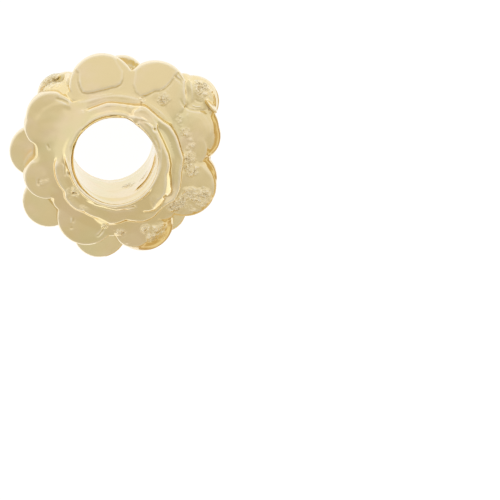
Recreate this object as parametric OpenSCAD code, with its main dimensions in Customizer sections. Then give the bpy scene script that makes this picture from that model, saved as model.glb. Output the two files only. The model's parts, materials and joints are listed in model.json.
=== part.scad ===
// Cast flower spacer bead: two staggered rows of rounded petals round a core,
// with a wavy two-step collar at each end. One piece of cast metal with a bore through it.
// The bore runs along Z and the origin is its middle.

/* [Bead] */
// Length along the bore, over both collars
bead_length = 6; // [5.8:0.1:6.4]
// Diameter of the bore
bore_d = 4.6; // [4.2:0.1:4.9]

/* [Petals] */
// Thickness of a petal, without its dome
petal_thick = 1.7; // [1.5:0.05:1.9]
// Height of the dome that stands on a petal
petal_crown = 0.35; // [0.15:0.05:0.5]
// Angle that a petal leans outwards, towards the middle of the bead
petal_lean = 7; // [5:1:10]
// How far a row of petals reaches past the middle of the bead
row_overlap = 0.15; // [0.05:0.05:0.3]

/* [Core] */
// Radius of the core that shows between the petals
core_r = 3.9; // [3.6:0.1:4.1]
// Length of the core
core_l = 2.6; // [2.2:0.1:2.8]

/* [Collars] */
// Height of the wide step of a collar, which is rooted in the petals
step_thick = 1; // [0.9:0.05:1.2]
// Height of the narrow lip on top of it
lip_thick = 0.35; // [0.25:0.05:0.45]
// Radius of the wide step where no wave stands out
step_r = 3.1; // [3:0.05:3.2]
// Radius of the narrow lip where no wave stands out
lip_r = 2.75; // [2.7:0.05:2.8]

/* [Hidden] */
$fn = 72;
bead_gold = "#d6c494";

// Columns of both petal tables: angle, reach from the axis, radius of the petal
FRONT_PETALS = [
    [  98, 5.30, 1.70],
    [  56, 5.50, 1.75],
    [  15, 5.94, 1.85],
    [ -25, 5.92, 1.85],
    [ -67, 5.77, 1.80],
    [-113, 5.41, 1.95],
    [-164, 4.97, 1.60],
    [ 152, 5.05, 1.95]];
BACK_PETALS = [
    [  82, 5.00, 1.30],
    [  27, 6.30, 1.70],
    [  -8, 5.10, 1.50],
    [ -52, 5.65, 1.50],
    [ -99, 6.20, 1.50],
    [-140, 5.90, 1.55],
    [-177, 5.57, 1.45],
    [ 131, 4.96, 1.55]];

// Columns of both wave tables: angle, reach from the axis, radius of the wave
STEP_WAVES = [
    [ 105, 3.22, 2.0],
    [  64, 3.36, 1.8],
    [  24, 3.62, 1.8],
    [  -6, 3.74, 2.0],
    [ -32, 3.92, 1.7],
    [ -62, 3.82, 1.7],
    [ -94, 3.58, 1.8],
    [-132, 3.50, 2.0],
    [-166, 3.45, 1.8],
    [ 140, 3.25, 2.0]];
LIP_WAVES = [
    [ 122, 3.25, 1.6],
    [  30, 2.92, 1.6],
    [   0, 2.98, 1.8],
    [ -42, 3.45, 1.5],
    [-140, 2.84, 1.6]];

// Heights above the middle of the bead at which a collar's lip and step start
lip_z = bead_length / 2 - lip_thick;
step_z = lip_z - step_thick;

// A coin with a ball-shaped rim and a low dome on top, standing on Z = 0
module pebble(radius) {
    half_thick = petal_thick / 2;
    dome_edge_r = sqrt(radius * radius - half_thick * half_thick);
    dome_r = (dome_edge_r * dome_edge_r + petal_crown * petal_crown) / (2 * petal_crown);
    rotate_extrude() intersection() {
        translate([0, half_thick]) circle(radius);
        translate([0, petal_thick + petal_crown - dome_r]) circle(dome_r);
        square([radius, 2 * petal_thick]);
    }
}

// The row of petals above the middle of the bead
module petal_row(table) {
    for (row = table)
        rotate(row[0]) translate([row[1] - row[2], 0, -row_overlap])
            rotate([0, petal_lean, 0]) pebble(row[2]);
}

// The outline of one step of a collar: a disc with waves that stand out of it
module wavy_disc(radius, table) {
    circle(radius);
    for (row = table)
        rotate(row[0]) translate([row[1] - row[2], 0]) circle(row[2]);
}

// The collar above the middle of the bead
module collar() {
    translate([0, 0, step_z]) linear_extrude(step_thick) wavy_disc(step_r, STEP_WAVES);
    translate([0, 0, lip_z]) linear_extrude(lip_thick) wavy_disc(lip_r, LIP_WAVES);
}

// The core that the petals and the collars grow from
module core() {
    cylinder(h = core_l, r = core_r, center = true);
}

module flower_bead() {
    color(bead_gold) difference() {
        union() {
            core();
            petal_row(FRONT_PETALS);
            mirror([0, 0, 1]) petal_row(BACK_PETALS);
            collar();
            mirror([0, 0, 1]) collar();
        }
        cylinder(h = bead_length + 2, d = bore_d, center = true);
    }
}

flower_bead();
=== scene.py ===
import json
import math

import bmesh
import bpy
import numpy as np
from mathutils import Matrix, Vector, noise


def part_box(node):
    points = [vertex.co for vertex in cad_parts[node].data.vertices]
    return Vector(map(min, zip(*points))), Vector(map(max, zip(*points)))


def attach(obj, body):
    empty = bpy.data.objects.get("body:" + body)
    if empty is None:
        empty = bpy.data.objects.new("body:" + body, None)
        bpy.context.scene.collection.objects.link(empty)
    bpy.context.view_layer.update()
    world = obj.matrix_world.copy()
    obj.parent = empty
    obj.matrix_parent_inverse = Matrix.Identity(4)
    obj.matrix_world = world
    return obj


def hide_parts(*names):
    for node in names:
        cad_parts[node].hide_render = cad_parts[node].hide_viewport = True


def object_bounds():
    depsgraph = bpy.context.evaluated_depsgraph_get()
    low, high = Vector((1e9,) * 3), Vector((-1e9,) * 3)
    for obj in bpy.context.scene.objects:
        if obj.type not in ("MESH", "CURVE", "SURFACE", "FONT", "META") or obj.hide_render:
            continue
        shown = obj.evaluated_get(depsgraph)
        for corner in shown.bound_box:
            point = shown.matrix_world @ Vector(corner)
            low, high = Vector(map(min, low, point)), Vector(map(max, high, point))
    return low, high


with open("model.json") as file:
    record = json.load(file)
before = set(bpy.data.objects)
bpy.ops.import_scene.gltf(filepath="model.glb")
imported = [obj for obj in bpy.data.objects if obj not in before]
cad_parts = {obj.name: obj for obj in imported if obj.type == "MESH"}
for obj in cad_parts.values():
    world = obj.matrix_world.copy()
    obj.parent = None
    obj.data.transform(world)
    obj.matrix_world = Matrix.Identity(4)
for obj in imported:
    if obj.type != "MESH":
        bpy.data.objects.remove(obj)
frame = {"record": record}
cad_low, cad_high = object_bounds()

# The bead is one lump of cast brass, plated pale gold. Its maker builds it up in wax, petal by
# petal round a tube, and melts the joints together before it is cast.
# It is shaped here in the same order, in millimetres, and becomes metres when it is cast.
MM = 0.001
bore = next(m for m in frame["record"]["mounts"] if m["name"] == "bore")
bore_r = bore["dims"]["r_mm"]
half_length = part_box("flower_bead")[1].z / MM
wax = bmesh.new()


def turned(profile, steps=72):
    """A solid turned round Z from a profile of (radius, height) points."""
    solid = bmesh.new()
    points = [solid.verts.new((r, 0, z)) for r, z in profile]
    chain = [solid.edges.new(pair) for pair in zip(points, points[1:])]
    bmesh.ops.spin(
        solid, geom=points + chain, cent=(0, 0, 0), axis=(0, 0, 1),
        angle=math.tau, steps=steps, use_merge=True,
    )
    bmesh.ops.remove_doubles(solid, verts=solid.verts, dist=0.001)
    return solid


def add_wax(solid):
    """Joins a closed solid to the wax, with its faces pointing out."""
    bmesh.ops.recalc_face_normals(solid, faces=solid.faces)
    part = bpy.data.meshes.new("part")
    solid.to_mesh(part)
    solid.free()
    wax.from_mesh(part)
    bpy.data.meshes.remove(part)


# The tube, and the core between the petals. The bore widens a little towards its mouths.
tube_r = 2.75
core_r = 3.9
core_half = 1.3
mouth_width = 0.12
mouth_depth = 0.65
tube_top = half_length - 0.45
tube_edge = 0.2
core_slope = 0.5
upper_half = [
    (core_r, core_half), (tube_r, core_half + core_slope), (tube_r, tube_top - tube_edge),
    (tube_r - tube_edge, tube_top), (bore_r + mouth_width, tube_top), (bore_r, tube_top - mouth_depth)]
lower_half = [(r, -z) for r, z in reversed(upper_half)]
add_wax(turned(lower_half + upper_half + lower_half[:1], steps=160))

# The petals: pads of wax, leaning outwards on top and level underneath. Small pads fill the
# joints. Columns: x, y, radius, radius of the foot, thickness, roundness of the edge, crown, lean
front_petals = [
    (-0.62, 3.82, 1.80, 1.38, 1.95, 0.08, 0.08, 6),
    (2.24, 3.42, 1.77, 1.35, 1.95, 0.08, 0.08, 6),
    (3.97, 1.22, 1.79, 1.40, 1.95, 0.80, 0.03, 5),
    (4.38, 0.86, 1.46, 1.20, 1.92, 0.80, 0.03, 5),
    (4.10, 0.30, 1.00, 1.00, 1.93, 0.15, 0.01, 3),
    (3.88, -1.80, 1.68, 1.50, 1.95, 0.28, 0.05, 3),
    (4.02, -1.48, 1.60, 1.40, 1.95, 0.66, 0.05, 3),
    (1.60, -3.90, 1.69, 1.50, 1.95, 1.30, 0.05, 4),
    (1.02, -4.12, 1.04, 1.00, 1.88, 0.10, 0.05, 4),
    (-1.52, -3.36, 1.60, 1.45, 1.95, 0.10, 0.06, 5),
    (-3.68, -1.07, 1.21, 1.10, 2.10, 0.08, 0.03, 3),
    (-3.62, 1.72, 1.22, 1.05, 2.15, 0.08, 0.02, 0),
    (-3.38, 2.28, 1.38, 1.00, 2.15, 0.10, 0.02, 0),
    (-2.72, 1.45, 1.70, 1.40, 2.18, 0.10, 0.02, 0),
    (-3.30, 0.40, 0.95, 0.95, 2.14, 0.10, 0.02, 2),
    (-2.95, -1.95, 0.60, 0.60, 1.95, 0.08, 0.02, 5),
    (-2.78, -2.42, 0.57, 0.57, 1.95, 0.08, 0.02, 5),
    (-0.15, -3.60, 0.88, 0.80, 1.95, 0.10, 0.02, 5),
    (2.60, -2.80, 0.85, 0.85, 1.90, 0.15, 0.02, 4),
    (4.24, 2.70, 1.36, 1.36, 1.80, 0.40, 0.04, 6)]
back_petals = [
    (0.52, 3.93, 0.86, 1.28, 1.95, 0.45, 0.10, 6),
    (4.37, 2.59, 1.02, 1.44, 1.95, 0.45, 0.10, 6),
    (3.75, -0.50, 1.18, 1.60, 1.95, 0.45, 0.10, 6),
    (2.70, -3.40, 0.90, 1.30, 1.95, 0.45, 0.10, 6),
    (-0.75, -4.58, 1.05, 1.47, 1.95, 0.45, 0.10, 6),
    (-3.47, -2.80, 1.07, 1.49, 1.95, 0.45, 0.10, 6),
    (-4.20, -0.01, 1.02, 1.44, 1.95, 0.45, 0.10, 6),
    (-2.88, 3.05, 0.80, 1.20, 1.95, 0.45, 0.10, 6),
    (-2.42, 3.32, 0.60, 1.02, 1.95, 0.45, 0.10, 6)]
# How far a row reaches past the middle of the bead, the distance from the axis at which its lean
# changes no height, and how far a petal's side bulges
petal_overlap = 0.15
petal_middle = 3.75
petal_bulge = 0.10


def arc(middle, radius, start, end, steps):
    """Points along an arc, from one angle to another, in a section."""
    turns = np.linspace(math.radians(start), math.radians(end), steps)
    return [(middle[0] + radius * math.cos(t), middle[1] + radius * math.sin(t)) for t in turns]


def pad_profile(radius, foot_radius, thick, edge, crown, foot_edge):
    """Half the section of a pad, from the middle of its top down to the middle of its foot."""
    top_r = radius - edge
    foot_r = foot_radius - foot_edge
    slope = math.degrees(math.atan(2 * crown / top_r))
    profile = [(top_r * t, thick + crown * (1 - t * t)) for t in (0, 0.25, 0.5, 0.75)]
    profile += arc((top_r, thick - edge), edge, 90 - slope, 0, 6)
    for t in (0.25, 0.5, 0.75):
        profile.append((
            radius + (foot_radius - radius) * t + 4 * petal_bulge * t * (1 - t),
            thick - edge - (thick - edge - foot_edge) * t))
    profile += arc((foot_r, foot_edge), foot_edge, 0, -90, 5)
    profile += [(foot_r * t, 0) for t in (0.6, 0.3, 0)]
    return profile


def out_of_bore(solid):
    """Pushes what reaches into the bore back into the wall of the tube."""
    keep_r = bore_r + 0.3
    least_r = 0.01
    for vert in solid.verts:
        if vert.co.xy.length < keep_r:
            vert.co.xy *= keep_r / max(vert.co.xy.length, least_r)


def press_on(row, side, foot_edge):
    """Adds a row of petals to one side of the bead."""
    for x, y, radius, foot_radius, thick, edge, crown, lean in row:
        pad = turned(pad_profile(radius, foot_radius, thick, edge, crown, foot_edge))
        out = math.hypot(x, y)
        for vert in pad.verts:
            slope = math.tan(math.radians(lean)) * vert.co.z / thick
            vert.co.z -= slope * (out + vert.co.x - petal_middle)
        seat = (
            Matrix.Diagonal((1, 1, side, 1))
            @ Matrix.Rotation(math.atan2(y, x), 4, "Z")
            @ Matrix.Translation((out, 0, -petal_overlap))
        )
        bmesh.ops.transform(pad, matrix=seat, verts=pad.verts)
        out_of_bore(pad)
        add_wax(pad)


press_on(front_petals, side=1, foot_edge=0.35)
press_on(back_petals, side=-1, foot_edge=0.08)

# Lumps of wax that fill the joints between the two rows, and a blade of it that stands up.
# Columns: x, y, z, half-size along, half-size across, half-height, turn
lumps = [
    (0.85, 4.00, 0.75, 0.80, 0.70, 0.95, 0),
    (3.95, 3.50, 0.85, 0.65, 0.85, 0.85, 20),
    (-2.85, 3.20, 0.65, 1.00, 0.75, 0.75, 0),
    (-2.50, 3.20, 0.95, 0.55, 0.62, 0.80, 0),
    (-2.42, 3.75, 0.45, 0.30, 0.60, 0.55, 0),
    (5.27, 2.62, 1.45, 0.50, 0.14, 0.50, -50)]
for x, y, z, along, across, height, turn in lumps:
    lump = bmesh.new()
    bmesh.ops.create_icosphere(lump, subdivisions=4, radius=1)
    seat = (
        Matrix.Translation((x, y, z)) @ Matrix.Rotation(math.radians(turn), 4, "Z")
        @ Matrix.Diagonal((along, across, height, 1))
    )
    bmesh.ops.transform(lump, matrix=seat, verts=lump.verts)
    out_of_bore(lump)
    add_wax(lump)

# The collars: an apron of wax run out over the petals, a wide sheet, a narrow one on it, and a
# raised rim round the mouth of the bore. The edges of the sheets ran while the wax was soft.
# Columns: angle, reach from the axis, height there, height at the collar
apron_edge = [
    (-45, 4.20, 1.76, 2.26), (-30, 4.20, 1.78, 2.34), (-15, 4.10, 1.78, 2.30), (-5, 3.80, 1.72, 2.05),
    (5, 3.40, 1.65, 1.85), (20, 3.45, 1.80, 1.90), (30, 3.55, 1.92, 1.95), (45, 3.50, 2.00, 2.00),
    (60, 3.45, 2.02, 2.02), (75, 3.42, 2.03, 2.03), (100, 3.42, 2.03, 2.03), (112, 3.45, 2.04, 2.04),
    (125, 3.60, 2.04, 2.10), (150, 3.85, 2.05, 2.14), (168, 3.95, 2.02, 2.18), (178, 4.05, 1.95, 2.20),
    (-170, 4.10, 1.87, 2.24), (-155, 4.10, 1.82, 2.26), (-140, 4.05, 1.80, 2.24),
    (-125, 4.15, 1.78, 2.22), (-105, 4.20, 1.78, 2.24), (-90, 4.25, 1.80, 2.28),
    (-70, 4.25, 1.78, 2.28), (-58, 4.25, 1.76, 2.26)]
# Columns of a sheet: angle, reach from the axis, height, width of the bevel, depth of the trough
step_edge = [
    (-174, 3.22, 2.40, 0.06, 0), (-165, 3.28, 2.38, 0.06, 0), (-156, 3.28, 2.37, 0.06, 0),
    (-147, 3.21, 2.36, 0.06, 0), (-141, 3.40, 2.34, 0.06, 0), (-133, 3.46, 2.34, 0.06, 0),
    (-127, 3.44, 2.34, 0.09, 0), (-120, 3.33, 2.33, 0.09, -0.02), (-108, 3.36, 2.31, 0.11, -0.05),
    (-97, 3.58, 2.28, 0.12, -0.06), (-90, 3.56, 2.28, 0.12, -0.06), (-80, 3.39, 2.31, 0.12, -0.06),
    (-74, 3.57, 2.29, 0.12, -0.06), (-67, 3.79, 2.27, 0.12, -0.05), (-59, 3.84, 2.27, 0.12, 0),
    (-53, 3.76, 2.31, 0.10, 0.03), (-48, 3.71, 2.35, 0.10, 0.06), (-42, 3.78, 2.40, 0.10, 0.09),
    (-36, 3.93, 2.45, 0.10, 0.12), (-27, 3.84, 2.50, 0.09, 0.12), (-20, 3.71, 2.54, 0.08, 0.12),
    (-13, 3.61, 2.58, 0.08, 0.13), (-7, 3.61, 2.60, 0.08, 0.13), (0, 3.63, 2.61, 0.08, 0.13),
    (5, 3.55, 2.62, 0.08, 0.13), (11, 3.50, 2.63, 0.08, 0.13), (20, 3.48, 2.63, 0.08, 0.13),
    (25, 3.45, 2.64, 0.08, 0.13), (31, 3.41, 2.64, 0.08, 0.12), (38, 3.25, 2.66, 0.08, 0.08),
    (45, 3.19, 2.68, 0.08, 0.02), (52, 3.22, 2.68, 0.06, 0.01), (59, 3.28, 2.68, 0.06, 0.01),
    (64, 3.22, 2.64, 0.06, 0.01), (70, 3.03, 2.48, 0.09, 0.02), (76, 2.96, 2.36, 0.09, 0.03),
    (84, 2.95, 2.33, 0.09, 0.03), (90, 2.98, 2.33, 0.09, 0.03), (97, 3.01, 2.34, 0.09, 0.03),
    (107, 2.95, 2.33, 0.09, 0.03), (116, 2.96, 2.32, 0.09, 0.03), (125, 3.00, 2.31, 0.09, 0.02),
    (140, 2.92, 2.30, 0.09, 0), (155, 2.88, 2.27, 0.09, 0), (165, 2.86, 2.29, 0.09, 0),
    (171, 2.92, 2.33, 0.08, 0), (179, 3.09, 2.37, 0.06, 0)]
lip_edge = [
    (-170, 2.75, 2.30, 0.05, 0), (-70, 2.80, 2.38, 0.05, 0), (-66, 3.10, 2.38, 0.05, 0),
    (-62, 3.30, 2.41, 0.05, -0.04), (-58, 3.42, 2.50, 0.06, -0.04), (-54, 3.44, 2.62, 0.14, 0),
    (-52, 3.37, 2.71, 0.22, 0.02), (-49, 3.27, 2.80, 0.30, 0.02),
    (-44, 3.20, 2.85, 0.34, 0.02), (-40, 3.24, 2.85, 0.26, 0.02),
    (-38, 3.28, 2.85, 0.12, 0.02), (-36, 3.25, 2.85, 0.26, 0.02), (-33, 3.17, 2.85, 0.42, 0.02),
    (-30, 3.12, 2.85, 0.44, 0.02), (-26, 3.03, 2.85, 0.34, 0.02), (-21, 2.92, 2.85, 0.30, 0.02),
    (-17, 2.84, 2.85, 0.30, 0.02), (-14, 2.88, 2.85, 0.16, 0.03), (-6, 2.89, 2.85, 0.13, 0.04),
    (0, 2.83, 2.85, 0.13, 0.04), (6, 2.79, 2.85, 0.13, 0.04), (11, 2.72, 2.85, 0.13, 0.04),
    (19, 2.68, 2.85, 0.13, 0.04), (28, 2.68, 2.85, 0.12, 0.04), (36, 2.76, 2.84, 0.06, 0.02),
    (42, 3.00, 2.75, 0.05, 0), (50, 3.10, 2.71, 0.05, 0), (58, 3.18, 2.70, 0.05, 0),
    (64, 3.12, 2.70, 0.05, 0), (68, 2.90, 2.64, 0.05, 0), (73, 2.75, 2.26, 0.05, 0),
    (125, 2.75, 2.24, 0.05, 0), (180, 2.75, 2.24, 0.05, 0)]
# Columns of the rim: angle, reach, height, radius of the mouth, width and depth of its funnel
rim_edge = [
    (-168, 2.50, 2.82, 2.24, 0.15, 0.30), (-150, 2.49, 2.86, 2.27, 0.13, 0.27),
    (-125, 2.51, 2.94, 2.33, 0.06, 0.14), (-90, 2.54, 3.00, 2.41, 0.03, 0.05),
    (-60, 2.50, 3.00, 2.38, 0.03, 0.05), (-30, 2.48, 2.92, 2.34, 0.04, 0.05),
    (0, 2.52, 2.88, 2.31, 0.08, 0.06), (20, 2.62, 2.88, 2.24, 0.28, 0.08),
    (32, 2.68, 2.88, 2.19, 0.38, 0.09), (45, 2.74, 2.88, 2.18, 0.48, 0.10),
    (58, 2.74, 2.86, 2.20, 0.44, 0.12), (66, 2.64, 2.80, 2.27, 0.20, 0.15),
    (75, 2.46, 2.54, 2.30, 0.10, 0.08), (85, 2.50, 2.49, 2.24, 0.16, 0.08),
    (96, 2.60, 2.46, 2.23, 0.22, 0.08), (104, 2.58, 2.46, 2.23, 0.24, 0.08),
    (115, 2.56, 2.46, 2.23, 0.22, 0.08), (124, 2.58, 2.48, 2.24, 0.26, 0.09),
    (140, 2.66, 2.51, 2.25, 0.36, 0.11), (154, 2.66, 2.53, 2.24, 0.34, 0.14),
    (160, 2.68, 2.54, 2.23, 0.24, 0.22), (170, 2.70, 2.58, 2.22, 0.19, 0.26),
    (178, 2.66, 2.64, 2.22, 0.17, 0.28), (184, 2.56, 2.74, 2.23, 0.17, 0.30)]
# Columns of the wide sheet's inner part: angle, distance from the mouth, height
step_inside = [
    (-180, 0.42, 2.47), (-140, 0.38, 2.52), (-110, 0.26, 2.56), (-80, 0.26, 2.57), (-60, 0.28, 2.60),
    (-54, 0.28, 2.64), (-47, 0.28, 2.74), (-40, 0.28, 2.78), (30, 0.30, 2.80), (62, 0.30, 2.72),
    (75, 0.30, 2.38), (105, 0.32, 2.37), (115, 0.32, 2.37), (140, 0.45, 2.40), (165, 0.52, 2.43)]
# Columns of the narrow sheet's inner part: angle, height
lip_inside = [
    (-80, 2.45), (-64, 2.56), (-58, 2.60), (-52, 2.66), (-46, 2.76), (-40, 2.84), (58, 2.86),
    (75, 2.30), (180, 2.30)]
# The foot of every ring, inside the wax below, and how deep its outer wall goes down into it
sheet_foot = 1.4
wall_depth = 1.1
# How far the apron runs in under the sheets, and where its top is level
apron_inside = 2.60
apron_level_r = 2.95
# Slope of the bevels in degrees, and how much steeper they are at the top of the photo
bevel_slope = 41
slope_change = 6.5
# Width of a sheet's crest, of its trough with the crest, and of the trough's slope
crest_width = 0.04
trough_width = 0.36
trough_slope = 0.06
# The inner wall of a sheet, from the mouth, and the distance of the narrow sheet's inner part
inner_wall = 0.14
lip_inner = 0.28


def at_angle(table, angle):
    """The values of an edge table at an angle."""
    angles, *columns = zip(*table)
    return [np.interp(math.degrees(angle), angles, column, period=360) for column in columns]


def apron_section(angle):
    """The section of the apron: a skirt, a bevel, and a slope up to the collar."""
    reach, outer_height, inner_height = at_angle(apron_edge, angle)
    skirt, skirt_drop = 0.35, 0.8
    bevel, bevel_drop = 0.12, 0.10
    return [
        (reach + skirt, outer_height - skirt_drop), (reach + bevel, outer_height - bevel_drop),
        (reach, outer_height), (apron_level_r, inner_height),
        (apron_inside, inner_height), (apron_inside, sheet_foot)]


def sheet_section(edge, angle, inner, level):
    """The section of a sheet: its wall, bevel, crest and trough, and its inner part."""
    reach, height, bevel, trough = at_angle(edge, angle)
    mouth = at_angle(rim_edge, angle)[2]
    drop = bevel * math.tan(math.radians(bevel_slope + slope_change * math.sin(angle)))
    trough_r = max(reach - trough_width, mouth + inner + 0.02)
    return [
        (reach + bevel, height - wall_depth), (reach + bevel, height - drop),
        (reach, height), (reach - crest_width, height),
        (trough_r + trough_slope, height - 0.95 * trough), (trough_r, height - trough),
        (mouth + inner, level), (mouth + inner_wall, level), (mouth + inner_wall, sheet_foot)]


def step_section(angle):
    """The section of the wide sheet."""
    return sheet_section(step_edge, angle, *at_angle(step_inside, angle))


def lip_section(angle):
    """The section of the narrow sheet."""
    return sheet_section(lip_edge, angle, lip_inner, *at_angle(lip_inside, angle))


def rim_section(angle):
    """The section of the rim: a wall, a bevel, a crest, and a funnel down into the bore."""
    reach, height, mouth, funnel_width, funnel_depth = at_angle(rim_edge, angle)
    wall, bevel, bevel_drop = 0.10, 0.06, 0.09
    crest, crest_drop = 0.03, 0.02
    return [
        (reach + wall, height - wall_depth), (reach + bevel, height - bevel_drop),
        (reach, height - crest_drop), (reach - crest, height),
        (mouth + funnel_width, height - crest_drop), (mouth, height - funnel_depth),
        (bore_r + 0.05, sheet_foot)]


def ring_of(section, side):
    """Adds a ring round the bore, whose section changes with the angle."""
    band = bmesh.new()
    bmesh.ops.create_circle(band, cap_ends=False, segments=360, radius=1)
    loop = list(band.edges)
    rings = [list(band.verts)]
    while len(rings) < len(section(0)):
        made = bmesh.ops.extrude_edge_only(band, edges=loop)["geom"]
        loop = [e for e in made if isinstance(e, bmesh.types.BMEdge)]
        rings.append([v for v in made if isinstance(v, bmesh.types.BMVert)])
    for number, ring in enumerate(rings):
        for vert in ring:
            angle = math.atan2(vert.co.y, vert.co.x)
            radius, height = section(angle)[number]
            vert.co = (radius * math.cos(angle), radius * math.sin(angle), side * height)
    bmesh.ops.bridge_loops(band, edges=[e for e in band.edges if e.is_boundary])
    add_wax(band)


for side in (1, -1):
    for section in (apron_section, step_section, lip_section, rim_section):
        ring_of(section, side)

# The skin round the wax: one closed surface, as fine as the casting shows detail.
skin_cell = 0.05
mesh = bpy.data.meshes.new("wax")
wax.to_mesh(mesh)
wax.free()
bead = bpy.data.objects.new("cast_flower_bead", mesh)
bpy.context.scene.collection.objects.link(bead)


def with_modifier(kind, **settings):
    """The bead's mesh as a modifier leaves it."""
    modifier = bead.modifiers.new("shape", kind)
    for name, value in settings.items():
        setattr(modifier, name, value)
    made = bpy.data.meshes.new_from_object(bead.evaluated_get(bpy.context.evaluated_depsgraph_get()))
    old = bead.data
    bead.modifiers.clear()
    bead.data = made
    bpy.data.meshes.remove(old)
    return made


cast = with_modifier("REMESH", mode="VOXEL", voxel_size=skin_cell)
count = len(cast.vertices)
place = np.empty(count * 3)
cast.vertices.foreach_get("co", place)
place = place.reshape(-1, 3)
ends = np.empty(len(cast.edges) * 2, dtype=int)
cast.edges.foreach_get("vertices", ends)
ends = ends.reshape(-1, 2)
valence = np.bincount(ends.ravel(), minlength=count)


def mean_of_neighbours(values, pairs):
    """The mean of a value over the neighbours of each point."""
    total = np.empty_like(values)
    for axis in range(values.shape[1]):
        column = values[:, axis]
        total[:, axis] = (
            np.bincount(pairs[:, 0], weights=column[pairs[:, 1]], minlength=count)
            + np.bincount(pairs[:, 1], weights=column[pairs[:, 0]], minlength=count)
        )
    return total / valence[:, None]


def normals_at(points):
    """The outward normal at each point of the skin."""
    cast.vertices.foreach_set("co", points.ravel())
    cast.update()
    out = np.empty(count * 3)
    cast.vertices.foreach_get("normal", out)
    return out.reshape(-1, 3)


def melt(points, steps, fill, wear):
    """Fills the inside corners and wears the outside edges, each by its own strength."""
    steps_per_normal = 4
    for step in range(steps):
        if step % steps_per_normal == 0:
            out = normals_at(points)
        pull = mean_of_neighbours(points, ends) - points
        strength = np.where(np.einsum("ij,ij->i", pull, out) > 0, fill, wear)
        points = points + pull * strength[:, None]
    return points


def soften(points, steps, strength):
    """Smooths the skin where a strength is given."""
    warm = strength > 0
    pairs = ends[warm[ends].any(axis=1)]
    for step in range(steps):
        pull = mean_of_neighbours(points, pairs) - points
        points = np.where(warm[:, None], points + pull * strength[:, None], points)
    return points


place = melt(place, steps=16, fill=0.25, wear=0.05)

# Where the wax was run together with a hot tool, hottest in the middle of each place.
# Columns: x, y, z, radius
melted = [
    (-2.90, 1.70, 2.2, 1.2), (-3.00, 0.70, 2.1, 0.9), (-2.10, 2.40, 2.3, 0.8), (-3.90, 0.45, 2.0, 0.8),
    (-3.20, -2.00, 1.8, 0.4), (-0.75, -3.55, 2.1, 0.45), (0.90, 4.10, 1.8, 0.6), (4.10, 3.40, 1.5, 0.7),
    (-2.70, 3.30, 1.5, 0.6), (3.90, -0.20, 1.8, 0.5)]
heat = np.zeros(count)
for x, y, z, radius in melted:
    away = np.linalg.norm(place - (x, y, z), axis=1) / radius
    heat = np.maximum(heat, np.clip(1.4 * (1 - away), 0, 1))
place = soften(place, steps=80, strength=0.9 * heat)

# The marks of the wax tool. All their lines and outlines are (x, y) points as seen along the bore.


def run_along(line, points):
    """How far each point is from a line, and how far along the line that is, from 0 to 1."""
    line = np.array(line, dtype=float)
    lengths = np.hypot(*np.diff(line, axis=0).T)
    starts = np.concatenate([[0], np.cumsum(lengths)])
    gap = np.full(len(points), np.inf)
    run = np.zeros(len(points))
    for start, end, length, before in zip(line, line[1:], lengths, starts):
        part = np.clip((points - start) @ (end - start) / length ** 2, 0, 1)
        here = np.hypot(*(points - start - part[:, None] * (end - start)).T)
        nearer = here < gap
        gap[nearer] = here[nearer]
        run[nearer] = before + part[nearer] * length
    return gap, run / starts[-1]


def enclosed(outline, points):
    """Which points lie inside an outline."""
    inside = np.zeros(len(points), dtype=bool)
    outline = np.array(outline, dtype=float)
    x, y = points.T
    for (x0, y0), (x1, y1) in zip(outline, np.roll(outline, -1, axis=0)):
        if y0 != y1:
            crosses = (y0 > y) != (y1 > y)
            inside ^= crosses & (x < x0 + (y - y0) * (x1 - x0) / (y1 - y0))
    return inside


def pressed(rise):
    """The skin with its front moved up by a rise for each point, and steep walls less or not."""
    steep, fade = 0.1, 0.3
    facing = np.clip((normals_at(place)[:, 2] - steep) / fade, 0, 1)
    moved = place.copy()
    moved[:, 2] += facing * rise
    return moved


def swell(outline, height, shoulder):
    """The rise of what an outline encloses, with a round shoulder of a given width."""
    inside = enclosed(outline, place[:, :2])
    rise = np.zeros(count)
    gap, run = run_along(list(outline) + [outline[0]], place[inside, :2])
    rise[inside] = height * np.sqrt(1 - (1 - np.clip(gap / shoulder, 0, 1)) ** 2)
    return rise


def score(line, depth, width):
    """The rise of a groove along a line, or of a ridge where its depth is negative."""
    low, high = np.min(line, axis=0) - width, np.max(line, axis=0) + width
    near = np.all((place[:, :2] > low) & (place[:, :2] < high), axis=1)
    rise = np.zeros(count)
    gap, run = run_along(line, place[near, :2])
    ends_share = 0.15
    fade = np.clip(np.minimum(run, 1 - run) / ends_share, 0, 1)
    rise[near] = -depth * fade * np.clip(1 - gap / width, 0, 1)
    return rise


def dent(x, y, along, across, turn, depth):
    """The rise of an oval dent with soft sides, or of a mound where its depth is negative."""
    turn = math.radians(turn)
    dx, dy = place[:, 0] - x, place[:, 1] - y
    u = (dx * math.cos(turn) + dy * math.sin(turn)) / along
    v = (dy * math.cos(turn) - dx * math.sin(turn)) / across
    return -depth * np.clip(1 - u * u - v * v, 0, 1) ** 2


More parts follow.
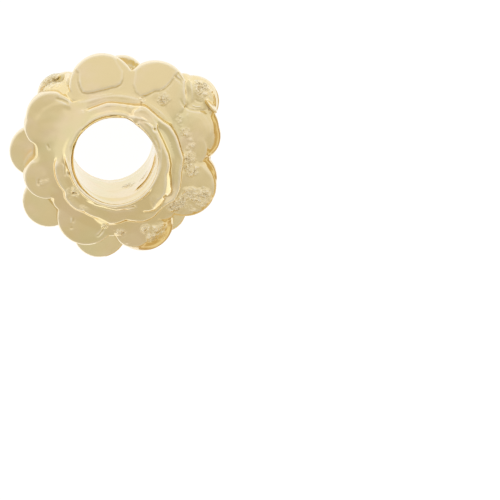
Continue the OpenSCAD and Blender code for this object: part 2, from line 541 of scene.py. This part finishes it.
# Two plates that were pressed onto petals. A knife followed the seam of each afterwards.
left_seam = [
    (-1.93, 4.10), (-1.85, 3.80), (-1.70, 3.53), (-1.45, 3.50), (-1.10, 3.54), (-0.80, 3.62),
    (-0.40, 3.70), (-0.15, 3.78), (0.15, 3.82), (0.40, 3.97)]
right_seam = [
    (3.10, 4.02), (2.90, 3.80), (2.72, 3.66), (2.48, 3.56), (2.22, 3.56), (2.02, 3.46), (1.75, 3.32)]
plates = [
    [
        (-1.93, 4.60), *left_seam, (0.52, 4.25), (0.55, 4.70), (0.30, 5.10), (-0.10, 6.00),
        (-0.8, 6.4), (-2.20, 6.20), (-2.30, 5.20)],
    [
        (3.30, 4.30), *right_seam, (1.40, 3.28), (1.15, 3.50), (1.00, 4.00), (1.10, 4.60),
        (1.30, 5.80), (2.30, 6.00), (3.60, 5.80), (3.80, 4.90)]]
for outline in plates:
    place = pressed(swell(outline, height=0.05, shoulder=0.20))

# Scores of the knife and folds of the wax, ridges where the depth is negative.
# Columns: depth, width, line
scores = [
    (0.05, 0.055, [(-1.95, 4.70), *left_seam, (0.55, 4.30)]),
    (-0.03, 0.07, [(-1.4, 3.37), (-0.9, 3.42), (-0.4, 3.50), (0.05, 3.55)]),
    (0.05, 0.055, [(3.25, 4.20), *right_seam, (1.30, 3.28)]),
    (0.07, 0.08, [(-3.15, 3.30), (-2.80, 3.20), (-2.55, 3.08), (-2.45, 2.95)]),
    (0.06, 0.07, [
        (3.60, 3.15), (3.70, 2.85), (3.85, 2.65), (4.10, 2.50), (4.40, 2.43), (4.80, 2.40),
        (5.10, 2.45)]),
    (0.06, 0.07, [(3.25, 4.40), (3.45, 4.20), (3.60, 4.10), (3.72, 3.90)]),
    (0.05, 0.06, [(3.45, 4.55), (3.65, 4.25), (3.78, 4.05)]),
    (0.10, 0.09, [(4.98, 3.00), (5.05, 2.80), (5.15, 2.55), (5.25, 2.35)]),
    (-0.08, 0.09, [(4.98, 3.15), (5.15, 2.85), (5.35, 2.60), (5.55, 2.35)]),
    (0.07, 0.08, [(4.45, 3.88), (4.60, 3.78), (4.80, 3.80), (4.95, 3.92), (5.10, 3.85)]),
    (0.06, 0.07, [(4.50, 4.15), (4.70, 4.08), (4.95, 4.12)]),
    (-0.05, 0.07, [(4.20, 2.75), (4.45, 2.63), (4.75, 2.62)]),
    (0.05, 0.06, [(4.40, 3.05), (4.55, 2.90), (4.80, 2.85)]),
    (0.06, 0.08, [(-4.10, -1.15), (-4.12, -1.50)]),
    (0.06, 0.07, [(-3.62, 0.80), (-3.56, 0.65), (-3.50, 0.50)]),
    (-0.04, 0.07, [(-2.35, -3.35), (-2.40, -3.70)]),
    (0.05, 0.06, [(-2.24, -3.35), (-2.26, -3.65)]),
    (0.08, 0.07, [(-0.62, -3.95), (-0.72, -4.20), (-0.98, -4.50)]),
    (0.06, 0.08, [(-2.79, -0.10), (-2.69, -0.35), (-2.68, -0.95)]),
    (0.045, 0.06, [(-1.70, -1.95), (-1.00, -2.42), (0.00, -2.69), (0.60, -2.62), (1.50, -2.24)]),
    (0.04, 0.06, [(-1.66, -2.27), (-1.06, -2.60), (0.04, -2.87), (0.64, -2.84), (1.34, -2.74)]),
    (0.09, 0.07, [(0.68, -2.68), (1.12, -2.66)]),
    (0.05, 0.06, [(2.15, 1.25), (2.32, 0.90), (2.42, 0.45)]),
    (0.05, 0.06, [(1.45, 2.20), (1.80, 2.08), (2.10, 1.90)])]
for depth, width, line in scores:
    place = pressed(score(line, depth, width))

# A shelf in the wall of the bore, where two strips of wax met. Columns: angle, height
shelf = [(-64, 1.6), (-52, 1.4), (-40, 1.25), (-28, 1.0), (-15, 0.8), (0, 0.8)]
shelf_width = 0.08
shelf_edge = 0.06
shelf_depth = 2
shelf_fade = 8
wall_reach = 0.15
away = np.hypot(place[:, 0], place[:, 1])
turns = np.degrees(np.arctan2(place[:, 1], place[:, 0]))
below = np.interp(turns, *zip(*shelf)) - place[:, 2]
fade = np.clip((turns - shelf[0][0]) / shelf_fade, 0, 1)
fade = fade * np.clip((shelf[-1][0] - turns) / shelf_fade, 0, 1)
shift = shelf_width * fade * np.clip(below / shelf_edge, 0, 1) * np.clip(1 - below / shelf_depth, 0, 1)
shift[away > bore_r + wall_reach] = 0
place = place.copy()
place[:, :2] *= (1 - shift / away)[:, None]

# Dents of a fingertip or a ball tool, and small mounds.
# Columns: x, y, half-size along, half-size across, turn, depth
dents = [
    (4.02, 3.50, 0.75, 0.25, 95, 0.12), (4.65, 3.62, 0.20, 0.16, 30, 0.10),
    (-2.50, 2.62, 0.40, 0.25, -60, 0.03), (-2.35, -3.95, 0.12, 0.10, 0, 0.05),
    (-2.49, -0.75, 0.12, 0.20, 0, 0.08), (-2.24, -1.90, 0.18, 0.12, 20, 0.10),
    (1.46, 2.98, 0.08, 0.08, 0, 0.06), (2.14, 1.68, 0.16, 0.10, -40, 0.12),
    (0.65, -4.85, 0.12, 0.10, 0, 0.05), (0.50, -4.30, 0.12, 0.10, 0, 0.05),
    (2.70, -2.08, 0.16, 0.14, 0, 0.16)]
for x, y, along, across, turn, depth in dents:
    place = pressed(dent(x, y, along, across, turn, depth))

# Where the mould was rough, the casting has a grain. Columns: x, y, z, radius, depth
rough_places = [
    (-3.80, -1.30, 1.8, 0.45, 0.05), (4.05, 0.60, 1.8, 0.45, 0.05), (4.15, -0.80, 1.8, 0.50, 0.10),
    (4.10, -0.20, 1.9, 0.50, 0.10), (4.05, -2.25, 1.8, 0.65, 0.10), (4.80, -2.30, 1.7, 0.60, 0.09),
    (4.40, -2.75, 1.8, 0.60, 0.09), (3.75, -2.60, 1.8, 0.50, 0.10), (3.20, -2.90, 1.8, 0.60, 0.12),
    (1.65, -4.10, 1.7, 0.42, 0.08), (2.35, -4.05, 1.7, 0.45, 0.09), (2.00, -4.60, 1.7, 0.45, 0.08),
    (2.50, -4.40, 1.3, 0.60, 0.04), (-0.55, -3.80, 1.9, 0.25, 0.08), (0.30, -4.25, 1.8, 0.40, 0.07),
    (2.60, 3.15, 1.9, 0.50, 0.10), (1.55, 3.17, 2.0, 0.25, 0.08), (3.72, 1.99, 1.8, 0.50, 0.05),
    (-1.80, 2.80, 2.2, 0.45, 0.05), (-3.20, 3.70, 0.3, 0.95, 0.10), (4.70, 3.40, 1.0, 0.80, 0.08),
    (4.50, 3.95, 1.4, 0.40, 0.10), (4.95, 3.65, 1.3, 0.45, 0.10), (4.55, 3.40, 1.4, 0.40, 0.08),
    (-2.30, -1.90, 2.7, 0.60, 0.08), (-1.70, -2.75, 2.6, 0.45, 0.06), (3.90, 1.30, 1.8, 0.45, 0.05),
    (0.90, -2.10, -0.3, 0.60, 0.08), (1.70, -1.55, 0.2, 0.50, 0.08)]
deepest = max(row[-1] for row in rough_places)
grain = np.zeros(count)
rough = np.zeros(count)
for x, y, z, radius, depth in rough_places:
    away = np.linalg.norm(place - (x, y, z), axis=1) / radius
    here = np.clip(1.6 * (1 - away), 0, 1)
    grain = np.maximum(grain, here * depth / deepest)
    rough = np.maximum(rough, here * depth)

# The skin is a little uneven all over. Columns of the waves: height, waves per mm
long_waves = [(0.012, 0.9), (0.006, 2.6)]
grain_waves = [(1, 5), (0.6, 11)]
patches_per_mm = 1.7


def waves(point, table):
    """The sum of several noises at a point."""
    return sum(height * noise.noise(point * per_mm) for height, per_mm in table)


out = normals_at(place)
unevenness = np.zeros(count)
for index, point in enumerate(place):
    point = Vector(point)
    unevenness[index] = waves(point, long_waves)
    if rough[index] > 0:
        patchy = min(max(0.75 + 1.6 * noise.noise(point * patches_per_mm), 0), 1)
        grain[index] *= patchy
        rough[index] *= patchy
        unevenness[index] += rough[index] * waves(point, grain_waves)
place = place + out * unevenness[:, None]

place = melt(place, steps=2, fill=0.3, wear=0.3)


def hollowness(points, steps):
    """How far each point lies under the skin as it would be if it were smoothed."""
    smooth = points
    for step in range(steps):
        smooth = mean_of_neighbours(smooth, ends)
    return np.einsum("ij,ij->i", smooth - points, normals_at(points))


masks = {"grain": grain, "hollow": hollowness(place, steps=12), "edge": -hollowness(place, steps=3)}
cast.vertices.foreach_set("co", (place * MM).ravel())
cast.update()
for name, values in masks.items():
    mask = cast.attributes.new(name, "FLOAT", "POINT")
    mask.data.foreach_set("value", values.astype(np.float32))

# The casting, with fewer points where it is smooth.
most_triangles = 192000
cast = with_modifier("DECIMATE", ratio=most_triangles / (2 * len(cast.polygons)))
cast.name = "cast_flower_bead"
for polygon in cast.polygons:
    polygon.use_smooth = True

# The plating: pale gold, polished, with painted highlight paler on the edges, painted shade browner
# in the hollows, and matt where the casting has a grain, with painted sparkle there.
metal = bpy.data.materials.new("pale_gold")
metal.use_nodes = True
nodes, links = metal.node_tree.nodes, metal.node_tree.links
shader = nodes["Principled BSDF"]
shader.inputs["Metallic"].default_value = 1
where = nodes.new("ShaderNodeTexCoord").outputs["Object"]


def cloud(scale, detail):
    """A soft noise over the metal, from 0 to 1, with its scale in waves per metre."""
    node = nodes.new("ShaderNodeTexNoise")
    node.inputs["Scale"].default_value = scale
    node.inputs["Detail"].default_value = detail
    links.new(where, node.inputs["Vector"])
    return node.outputs["Fac"]


def spanned(value, low, high, new_low, new_high):
    """A value stretched from one range to another, and kept within the new one."""
    node = nodes.new("ShaderNodeMapRange")
    limits = {"From Min": low, "From Max": high, "To Min": new_low, "To Max": new_high}
    for name, number in limits.items():
        node.inputs[name].default_value = number
    links.new(value, node.inputs["Value"])
    return node.outputs["Result"]


def measured(name, low, high):
    """A mask of the casting, from 0 at its low value to 1 at its high one."""
    node = nodes.new("ShaderNodeAttribute")
    node.attribute_name = name
    return spanned(node.outputs["Fac"], low, high, 0, 1)


def blended(share, first, second):
    """A mix of two colours, each a socket or plain numbers."""
    node = nodes.new("ShaderNodeMix")
    node.data_type = "RGBA"
    share_in, first_in, second_in, colour_out = 0, 6, 7, 2
    for number, colour in ((first_in, first), (second_in, second)):
        if isinstance(colour, tuple):
            node.inputs[number].default_value = colour
        else:
            links.new(colour, node.inputs[number])
    links.new(share, node.inputs[share_in])
    return node.outputs[colour_out]


def combined(operation, first, second):
    """A Math node between two values, each a socket or a number."""
    node = nodes.new("ShaderNodeMath")
    node.operation = operation
    for number, value in enumerate((first, second)):
        if isinstance(value, (int, float)):
            node.inputs[number].default_value = value
        else:
            links.new(value, node.inputs[number])
    return node.outputs[0]


gold = (0.86, 0.71, 0.40, 1)
greenish = (0.83, 0.72, 0.41, 1)
pinkish = (0.88, 0.72, 0.46, 1)
# The next three colours are painted: shade in the hollows, highlight on the edges, and sparkle on the
# grain.
painted_hollow_shade = (0.60, 0.47, 0.26, 1)
painted_edge_highlight = (0.94, 0.83, 0.60, 1)
painted_sparkle = (0.95, 0.85, 0.62, 1)
tone = blended(spanned(cloud(380, 3), 0.35, 0.5, 0, 1), greenish, gold)
tone = blended(spanned(cloud(550, 4), 0.5, 0.68, 0, 1), tone, pinkish)
# Painted shade: the hollows are mixed towards a darker brown.
tone = blended(measured("hollow", 0.012, 0.05), tone, painted_hollow_shade)
# Painted highlight: the outer edges are mixed towards a paler gold.
tone = blended(measured("edge", 0.001, 0.01), tone, painted_edge_highlight)
grain_and_sparkle = measured("grain", 0.1, 0.9)
# Painted sparkle: where the casting has a grain, the colour is mixed towards a near-white gold, a painted
# highlight.
tone = blended(combined("MULTIPLY", grain_and_sparkle, 0.6), tone, painted_sparkle)
links.new(tone, shader.inputs["Base Color"])

roughness = spanned(cloud(1500, 3), 0.3, 0.7, 0.10, 0.20)
links.new(combined("ADD", roughness, combined("MULTIPLY", grain_and_sparkle, 0.25)), shader.inputs["Roughness"])

relief = nodes.new("ShaderNodeBump")
relief.inputs["Strength"].default_value = 1
relief.inputs["Distance"].default_value = 0.05 * MM
fine = combined("MULTIPLY", grain_and_sparkle, combined("MULTIPLY", cloud(10000, 3), 3))
height = combined("ADD", fine, combined("MULTIPLY", cloud(2500, 2), 0.03))
links.new(height, relief.inputs["Height"])
links.new(relief.outputs["Normal"], shader.inputs["Normal"])
cast.materials.append(metal)

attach(bead, "root")
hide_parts("flower_bead")

# The sheet of paper that the bead lies on. It is matt, and glows a little by itself, so that it
# stays as white and as free of shade as in the photo.
paper_mesh = bpy.data.meshes.new("paper")
paper_bm = bmesh.new()
bmesh.ops.create_grid(paper_bm, x_segments=1, y_segments=1, size=1.0)
bmesh.ops.translate(paper_bm, verts=paper_bm.verts, vec=(0, 0, cad_low.z))
paper_bm.to_mesh(paper_mesh)
paper_bm.free()
paper = bpy.data.objects.new("paper", paper_mesh)
bpy.context.scene.collection.objects.link(paper)
white = bpy.data.materials.new("paper_white")
white.use_nodes = True
paper_shader = white.node_tree.nodes["Principled BSDF"]
paper_shader.inputs["Base Color"].default_value = (0.12, 0.12, 0.12, 1)
paper_shader.inputs["Roughness"].default_value = 1
paper_shader.inputs["Specular IOR Level"].default_value = 0
paper_shader.inputs["Emission Color"].default_value = (1, 1, 1, 1)
paper_shader.inputs["Emission Strength"].default_value = 0.96
paper_mesh.materials.append(white)

# Two round cards stand beside the bead, seen in its metal alone, and give it golden flanks. They
# glow orange at the foot and the top, and pale gold between.
card_mesh = bpy.data.meshes.new("warm_cards")
card_bm = bmesh.new()
card_r, card_half = 6.0, 2.75
for x, y in ((14.2, -1.3), (6.9, -11.6)):
    bmesh.ops.create_cone(
        card_bm, cap_ends=True, segments=48, radius1=card_r * MM, radius2=card_r * MM,
        depth=2 * card_half * MM, matrix=Matrix.Translation((x * MM, y * MM, cad_low.z + card_half * MM)))
card_bm.to_mesh(card_mesh)
card_bm.free()
cards = bpy.data.objects.new("warm_cards", card_mesh)
bpy.context.scene.collection.objects.link(cards)
warm = bpy.data.materials.new("warm_card")
warm.use_nodes = True
warm_shader = warm.node_tree.nodes["Principled BSDF"]
warm_shader.inputs["Base Color"].default_value = (0, 0, 0, 1)
warm_shader.inputs["Specular IOR Level"].default_value = 0

# From here on, nodes, links and where belong to the cards, and the same functions fill them.
nodes, links = warm.node_tree.nodes, warm.node_tree.links
where = nodes.new("ShaderNodeTexCoord").outputs["Object"]
upright = nodes.new("ShaderNodeSeparateXYZ")
links.new(where, upright.inputs["Vector"])
foot_orange = (0.60, 0.43, 0.20, 1)
pale_gold = (0.90, 0.80, 0.55, 1)
top_orange = (0.62, 0.46, 0.21, 1)
waver = 0.5 * MM
level = combined("ADD", upright.outputs["Z"], spanned(cloud(400, 2), 0.3, 0.7, -waver, waver))
faded = blended(spanned(level, -0.6 * MM, 0.4 * MM, 0, 1), foot_orange, pale_gold)
faded = blended(spanned(level, 0.8 * MM, 1.5 * MM, 0, 1), faded, top_orange)
links.new(faded, warm_shader.inputs["Emission Color"])
warm_shader.inputs["Emission Strength"].default_value = 1
card_mesh.materials.append(warm)
for seen_by in ("camera", "diffuse", "shadow", "transmission"):
    setattr(cards, "visible_" + seen_by, False)

# The tent round it: white low down, and overhead darker and warmer towards the bead's lower side
# in the photo. The colours go by the direction of the light.
world = bpy.data.worlds.new("tent")
bpy.context.scene.world = world
world.use_nodes = True
nodes, links = world.node_tree.nodes, world.node_tree.links
split = nodes.new("ShaderNodeSeparateXYZ")
links.new(nodes.new("ShaderNodeTexCoord").outputs["Generated"], split.inputs["Vector"])


def ramp(value, low, high, stops):
    """A colour ramp over a range of values. Columns of the stops: value, red, green, blue"""
    node = nodes.new("ShaderNodeValToRGB")
    elements = node.color_ramp.elements
    while len(elements) < len(stops):
        elements.new(1)
    for element, (at, red, green, blue) in zip(elements, stops):
        element.position = (at - low) / (high - low)
        element.color = (red, green, blue, 1)
    links.new(spanned(value, low, high, 0, 1), node.inputs["Fac"])
    return node.outputs["Color"]


overhead = ramp(split.outputs["Y"], -1, 1, [
    (-0.6, 0.66, 0.615, 0.53), (-0.3, 0.71, 0.685, 0.63), (-0.2, 0.74, 0.715, 0.67),
    (-0.02, 0.89, 0.875, 0.875), (0.5, 0.92, 0.91, 0.90)])
low_down = ramp(split.outputs["Y"], -1, 1, [(-0.2, 1.42, 1.42, 1.40), (0.6, 1.25, 1.24, 1.22)])
light = blended(spanned(split.outputs["Z"], 0.05, 0.35, 0, 1), low_down, overhead)
links.new(light, nodes["Background"].inputs["Color"])

scene = bpy.context.scene
scene.view_settings.view_transform = "Standard"

# The camera stands 260 mm off, 13 degrees off the bore, and the bead lies at the upper left.
eye_distance = 0.260
lean_x, lean_y = math.radians(-2.45), math.radians(12.71)
aim = Vector((7.49, -5.80, 0)) * MM
toward = Vector((math.sin(lean_x), math.sin(lean_y), 0))
toward.z = math.sqrt(1 - toward.length_squared)
eye = toward * eye_distance
forward = (aim - eye).normalized()
right = forward.cross(Vector((0, 1, 0))).normalized()
upward = right.cross(forward)
lens = bpy.data.cameras.new("camera")
camera = bpy.data.objects.new("camera", lens)
scene.collection.objects.link(camera)
camera.matrix_world = Matrix.Translation(eye) @ Matrix((right, upward, -forward)).transposed().to_4x4()
lens.sensor_width = 36
frame_px = 500
px_per_mm = 18.35
lens.lens = lens.sensor_width * px_per_mm * eye_distance / MM / frame_px
lens.clip_start = 0.01
lens.clip_end = 10
scene.camera = camera
